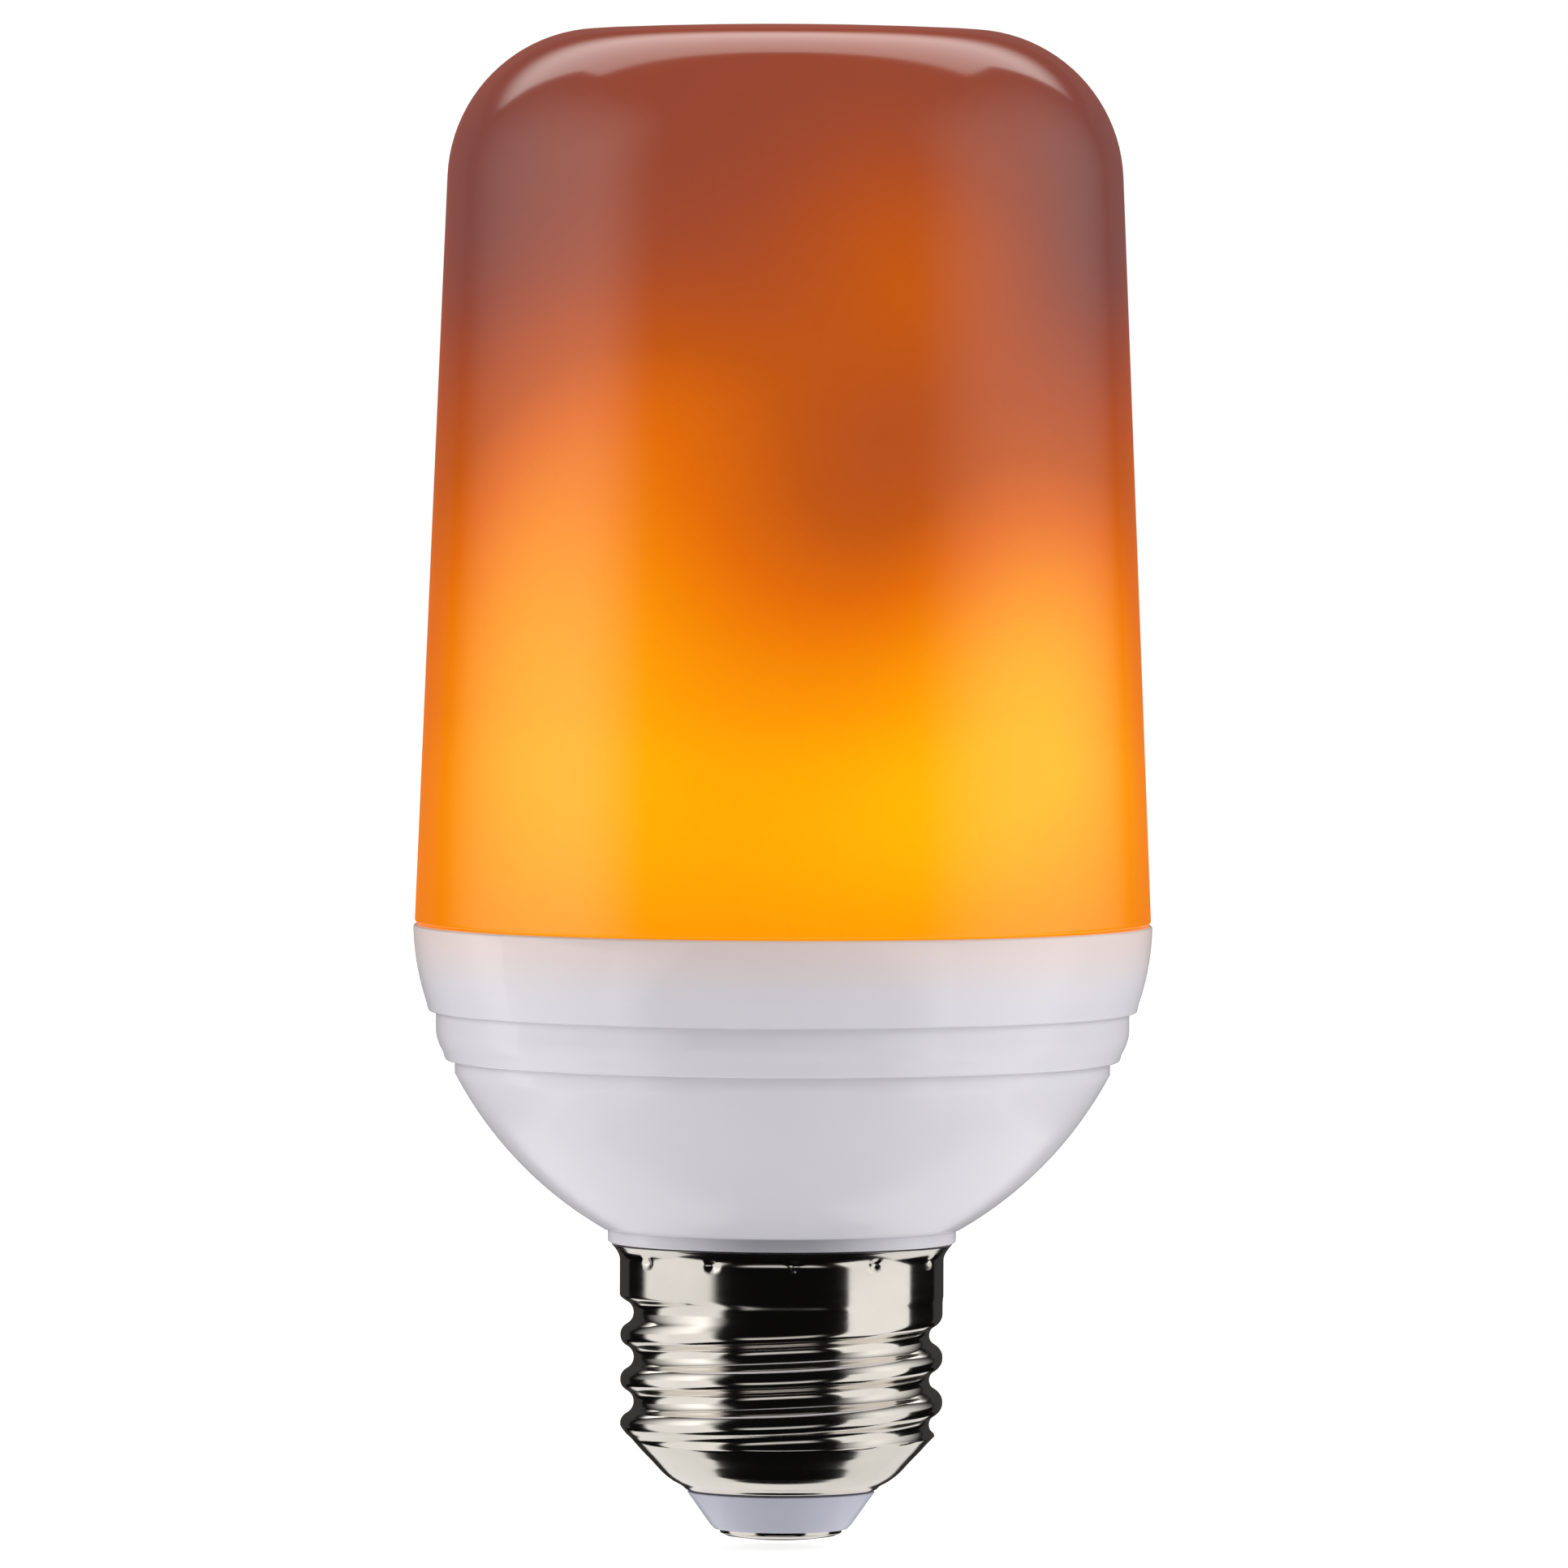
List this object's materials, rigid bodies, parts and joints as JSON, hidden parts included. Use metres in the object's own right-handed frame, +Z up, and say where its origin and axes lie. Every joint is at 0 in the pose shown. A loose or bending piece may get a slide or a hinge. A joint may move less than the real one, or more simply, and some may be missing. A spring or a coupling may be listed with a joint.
{
  "type": "flame effect light bulb",
  "caption": "Flame effect light bulb: tapered translucent diffuser on a white tiered housing with a nickel-plated screw cap.",
  "frame": {"origin": "lowest point of the centre contact, on the lamp's axis", "axes": "+Z up along the lamp's axis from the screw cap to the crown of the diffuser; -Y faces the camera of the picture; +X to its right"},
  "size_m": [0.06, 0.06, 0.123],
  "materials": {
    "frosted_diffuser": "translucent moulded plastic lit from within by a flame pattern",
    "white_plastic": "gloss white moulding",
    "nickel_plate": "bright nickel plate",
    "insulator_plastic": "satin moulding",
    "core_plastic": "white moulding",
    "circuit_board": "white solder resist",
    "light_emitter": "white package with a yellow phosphor window",
    "black_resin": "moulded resin",
    "green_lacquer": "lacquered body",
    "capacitor_sleeve": "shrunk sleeve",
    "tinned_wire": "tinned copper",
    "zinc_screw": "zinc plate"
  },
  "bodies": {
    "root": {"diffuser": "frosted_diffuser", "housing": "white_plastic", "screw_shell": "nickel_plate", "insulator": "insulator_plastic", "centre_contact": "nickel_plate", "led_core": "core_plastic", "core_cap": "core_plastic", "led_board": "circuit_board", "driver_board": "circuit_board", "bridge_rectifier": "black_resin", "control_chip": "black_resin", "filter_inductor": "black_resin", "fusible_resistor": "green_lacquer", "smoothing_capacitor": "capacitor_sleeve", "live_lead": "tinned_wire", "neutral_lead": "tinned_wire", "led_lead_live": "tinned_wire", "led_lead_return": "tinned_wire", "core_screws": "zinc_screw", "led_row_1": "light_emitter", "led_row_2": "light_emitter", "led_row_3": "light_emitter", "led_row_4": "light_emitter", "led_row_5": "light_emitter", "led_row_6": "light_emitter", "led_row_7": "light_emitter", "led_row_8": "light_emitter"}
  },
  "joints": []
}
